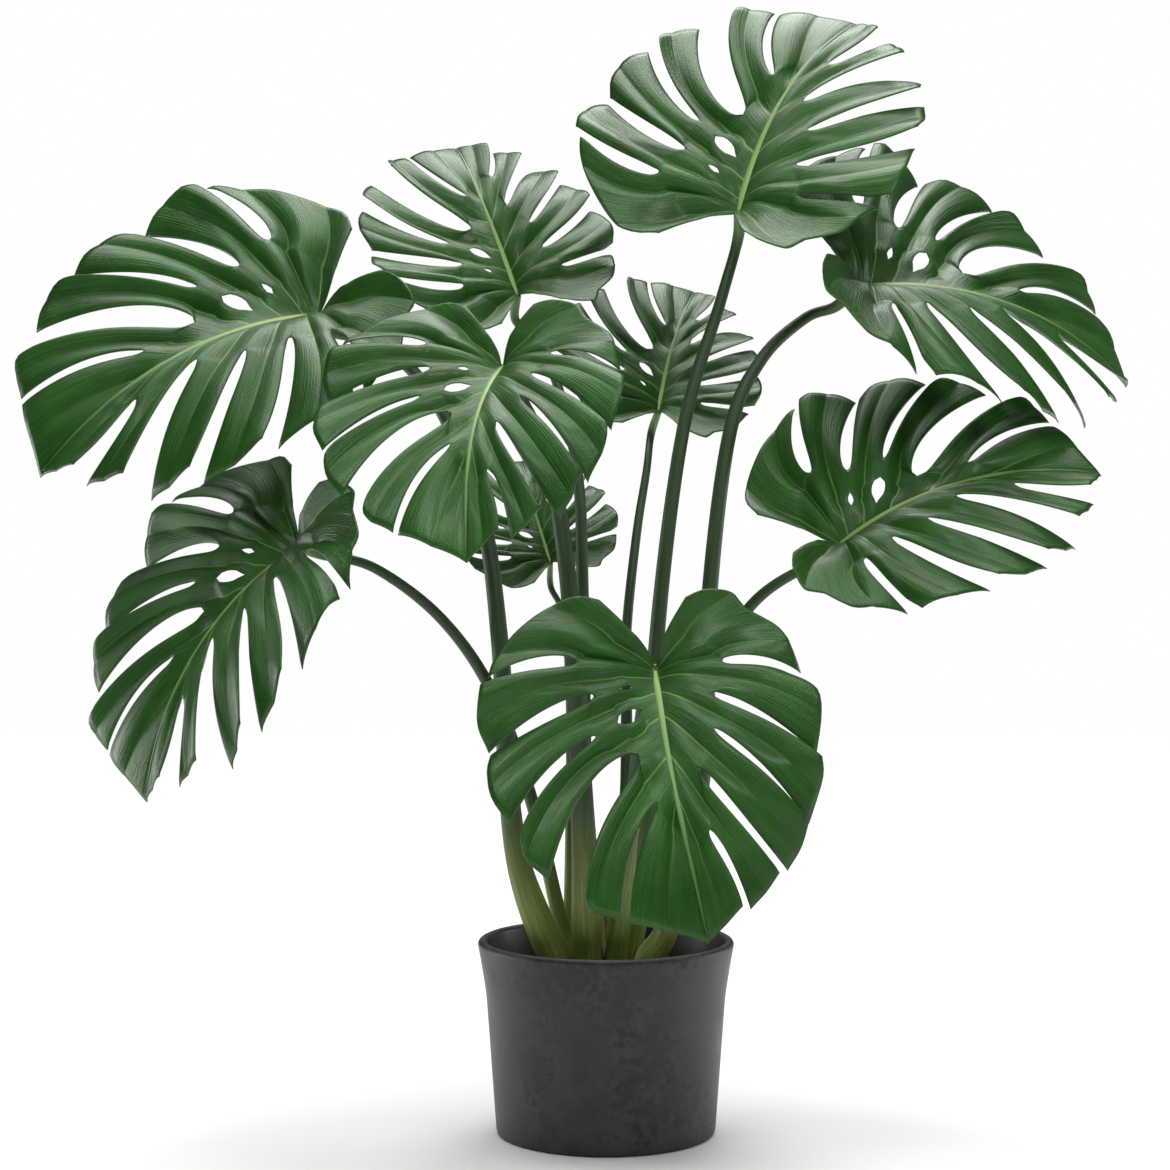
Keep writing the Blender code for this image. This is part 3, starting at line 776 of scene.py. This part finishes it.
def build_stalk(name, joint, tip, turn, top_radius, base_radius, route, mat):
    """A stalk that is a grooved sheath at the soil, and round where it meets the blade."""
    axes = leaf_frame(joint, tip, turn)
    ahead, face = axes.col[1].xyz, axes.col[2].xyz
    foot = Vector((*route[0][:2], SOIL_LEVEL - STALK_SINK))
    rise = foot + Vector((0, 0, STALK_SINK * 3))
    neck = joint - face * STALK_NECK - ahead * STALK_NECK / 3
    end = joint - face * 0.0004
    path = smooth_path([rise, *route[1:], neck, end], STALK_STEPS)
    path.insert(0, foot)
    inward = Vector((-foot.x, -foot.y + 0.02, 0))
    if inward.length < 0.012:
        inward = Vector((0, 1, 0))
    rings = []
    lengths = [0.0]
    for a, b in zip(path, path[1:]):
        lengths.append(lengths[-1] + (b - a).length)
    for n, centre in enumerate(path):
        share = n / (len(path) - 1)
        way = (path[min(n + 1, len(path) - 1)] - path[max(n - 1, 0)]).normalized()
        inward = (inward - way * inward.dot(way)).normalized()
        beside = way.cross(inward)
        radius = top_radius + (base_radius - top_radius) * (1 - share) ** 1.6
        knee = math.exp(-(((lengths[-1] - lengths[n]) - KNEE_PLACE) / KNEE_LENGTH) ** 2)
        radius *= 1 + KNEE_SWELL * knee
        sheath = smoothstep((SHEATH_END - share) / SHEATH_FADE)
        ring = []
        for side in range(STALK_SIDES):
            angle = 2 * math.pi * side / STALK_SIDES
            off = math.atan2(math.sin(angle), math.cos(angle))
            shape = 1 - (0.10 + 0.25 * sheath) * math.exp(-(off / GROOVE_WIDTH) ** 2)
            for wing in (-WING_ANGLE, WING_ANGLE):
                shape += WING_HEIGHT * sheath * math.exp(-((off - wing) / WING_WIDTH) ** 2)
            ring.append(centre + (inward * math.cos(angle) + beside * math.sin(angle)) * radius * shape)
        rings.append(ring)
    tubes = ([], [], [])
    add_tube(tubes, rings, [length / lengths[-1] for length in lengths])
    finished("stalk_" + name, tube_mesh("stalk", tubes), mat, "petiole_" + name)


# ---------------------------------------------------------------- planter and mix


def outer_radius(z):
    """The planter's outside: a straight taper, then a flare of growing slope."""
    waist = POT_HEIGHT - FLARE_HEIGHT
    if z <= waist:
        return FOOT_RADIUS + (WAIST_RADIUS - FOOT_RADIUS) * z / waist
    share = (z - waist) / FLARE_HEIGHT
    return WAIST_RADIUS + (RIM_RADIUS - WAIST_RADIUS) * (0.85 * share + 0.15 * share**2)


def build_planter(mat):
    """A disc, extruded and scaled up the outside, over the lip and down the inside."""
    stations = []
    for step in range(7):
        angle = math.radians(15 * step)
        stations.append((outer_radius(FOOT_ROUND) - FOOT_ROUND * (1 - math.sin(angle)),
                         FOOT_ROUND * (1 - math.cos(angle))))
    for step in range(1, 15):
        z = FOOT_ROUND + (POT_HEIGHT - WALL / 2 - FOOT_ROUND) * step / 15
        stations.append((outer_radius(z), z))
    lip = WALL / 2
    lip_z = POT_HEIGHT - lip
    for step in range(11):
        angle = math.radians(18 * step)
        stations.append((outer_radius(lip_z) - lip + lip * math.cos(angle), lip_z + lip * math.sin(angle)))
    for z in (POT_HEIGHT - 0.02, POT_HEIGHT - 0.04, POT_HEIGHT - 0.06, 0.09, 0.012):
        stations.append((outer_radius(z) - WALL, z))
    bpy.ops.object.select_all(action="DESELECT")
    bpy.ops.mesh.primitive_circle_add(vertices=POT_SIDES, radius=stations[0][0], fill_type="NGON")
    bpy.ops.object.mode_set(mode="EDIT")
    bpy.ops.mesh.select_all(action="SELECT")
    for (radius, z), (next_radius, next_z) in zip(stations, stations[1:]):
        bpy.ops.mesh.extrude_region_move(TRANSFORM_OT_translate={"value": (0, 0, next_z - z)})
        scale = next_radius / radius
        bpy.ops.transform.resize(value=(scale, scale, 1), center_override=(0, 0, next_z))
    bpy.ops.object.mode_set(mode="OBJECT")
    mesh = taken_mesh()
    finished("planter", outward(mesh), mat, "pot")
    mesh.set_sharp_from_angle(angle=math.radians(40))


def build_mix(mix_mat, bark_and_pit_shade_mat):
    """The crumbly top of the potting mix, and bark chips lying in it."""
    radius = outer_radius(SOIL_LEVEL) - WALL - 0.0004
    bpy.ops.object.select_all(action="DESELECT")
    bpy.ops.mesh.primitive_circle_add(vertices=96, radius=radius, fill_type="TRIFAN")
    bpy.ops.object.mode_set(mode="EDIT")
    bpy.ops.mesh.select_all(action="SELECT")
    bpy.ops.mesh.extrude_region_move(TRANSFORM_OT_translate={"value": (0, 0, SOIL_DEPTH)})
    bpy.ops.object.mode_set(mode="OBJECT")
    mesh = taken_mesh()
    crumbs = bmesh.new()
    crumbs.from_mesh(mesh)
    spokes = [edge for edge in crumbs.edges
              if min(v.co.z for v in edge.verts) > SOIL_DEPTH / 2
              and min(v.co.to_2d().length for v in edge.verts) < 0.001]
    bmesh.ops.subdivide_edges(crumbs, edges=spokes, cuts=SOIL_RINGS, use_grid_fill=True)
    for vert in crumbs.verts:
        away = vert.co.to_2d().length / radius
        if vert.co.z > SOIL_DEPTH / 2:
            vert.co.z = SOIL_LEVEL - SOIL_CROWN * away**2
            lump = noise.noise(vert.co * 70) * 0.0025 + noise.noise(vert.co * 260) * 0.0012
            vert.co.z += lump * (1 - away**8) - 0.001
        else:
            vert.co.z = SOIL_LEVEL - SOIL_DEPTH
    crumbs.to_mesh(mesh)
    crumbs.free()
    finished("potting_mix", outward(mesh), mix_mat, "soil")

    rng = random.Random(7)
    chips = bmesh.new()
    for _ in range(CHIPS):
        spot = radius * 0.94 * math.sqrt(rng.random())
        angle = rng.uniform(0, 2 * math.pi)
        size = rng.uniform(0.0015, 0.0042) if rng.random() < 0.8 else rng.uniform(0.004, 0.0075)
        z = SOIL_LEVEL - SOIL_CROWN * (spot / radius) ** 2 - 0.0004
        turn = Matrix.Rotation(rng.uniform(0, 6.28), 4, "Z") @ Matrix.Rotation(rng.uniform(-0.5, 0.5), 4, "X")
        shape = Matrix.Diagonal((size, size * rng.uniform(0.5, 0.9), size * rng.uniform(0.25, 0.5), 1))
        place = Matrix.Translation((spot * math.cos(angle), spot * math.sin(angle), z))
        made = bmesh.ops.create_icosphere(chips, subdivisions=1, radius=1, matrix=place @ turn @ shape)
        for vert in made["verts"]:
            vert.co += Vector((rng.uniform(-1, 1), rng.uniform(-1, 1), rng.uniform(-0.5, 0.5))) * size * 0.22
    mesh = bpy.data.meshes.new("bark_chips")
    chips.to_mesh(mesh)
    chips.free()
    finished("bark_chips", mesh, bark_and_pit_shade_mat, None)
    mesh.shade_flat()


# ---------------------------------------------------------------- studio


def build_studio(paper):
    bpy.ops.object.select_all(action="DESELECT")
    bpy.ops.mesh.primitive_plane_add(size=9)
    floor = bpy.context.object
    floor.name = "floor"
    floor.data.materials.append(paper)

    camera = bpy.data.cameras.new("camera")
    camera.lens = LENS
    camera.sensor_width = SENSOR
    eye = bpy.data.objects.new("camera", camera)
    eye.location = EYE
    eye.rotation_euler = (math.radians(90 - LOOK_DOWN), 0, 0)
    bpy.context.scene.collection.objects.link(eye)
    bpy.context.scene.camera = eye

    for name, place, energy, size in LAMPS:
        light = bpy.data.lights.new(name, "AREA")
        light.energy = energy
        light.shape = "DISK"
        light.size = size
        lamp = bpy.data.objects.new(name, light)
        lamp.location = place
        lamp.rotation_euler = (Vector(AIM) - lamp.location).to_track_quat("-Z", "Y").to_euler()
        bpy.context.scene.collection.objects.link(lamp)

    sun = bpy.data.lights.new("overhead", "SUN")
    sun.energy = SUN_POWER
    sun.angle = math.radians(SUN_WIDTH)
    lamp = bpy.data.objects.new("overhead", sun)
    lamp.rotation_euler = (math.radians(SUN_TILT), 0, 0)
    bpy.context.scene.collection.objects.link(lamp)

    world = bpy.data.worlds.new("studio")
    world.use_nodes = True
    tree = world.node_tree
    backdrop = add(tree, "Background", inputs={"Color": (1, 1, 1, 1), "Strength": 1.0})
    around = tree.nodes["Background"]
    around.inputs["Color"].default_value = (1, 1, 1, 1)
    around.inputs["Strength"].default_value = AROUND
    seen = add(tree, "LightPath").outputs["Is Camera Ray"]
    both = add(tree, "MixShader", {0: seen, 1: around.outputs[0], 2: backdrop.outputs[0]})
    tree.links.new(both.outputs[0], tree.nodes["World Output"].inputs["Surface"])
    bpy.context.scene.world = world
    bpy.context.scene.view_settings.view_transform = "Standard"


def main():
    build_studio(paper_material())
    build_planter(planter_material())
    blade_mat, rib_mat = blade_material(), rib_material()
    stalk_mat, bark_and_pit_shade_mat = stalk_material(), bark_material()
    unit, veins = unit_blade()
    for name, joint, tip, turn, mirrored, top_radius, base_radius, route in LEAVES:
        joint, tip = Vector(joint), Vector(tip)
        pose = build_leaf(unit, veins, name, joint, tip, turn, mirrored, blade_mat, rib_mat)
        if name == "front":
            build_joint_scar(pose, rib_mat, bark_and_pit_shade_mat)
        build_stalk(name, joint, tip, turn, top_radius, base_radius, route, stalk_mat)
    bpy.data.meshes.remove(unit)
    build_mix(mix_material(), bark_and_pit_shade_mat)


main()
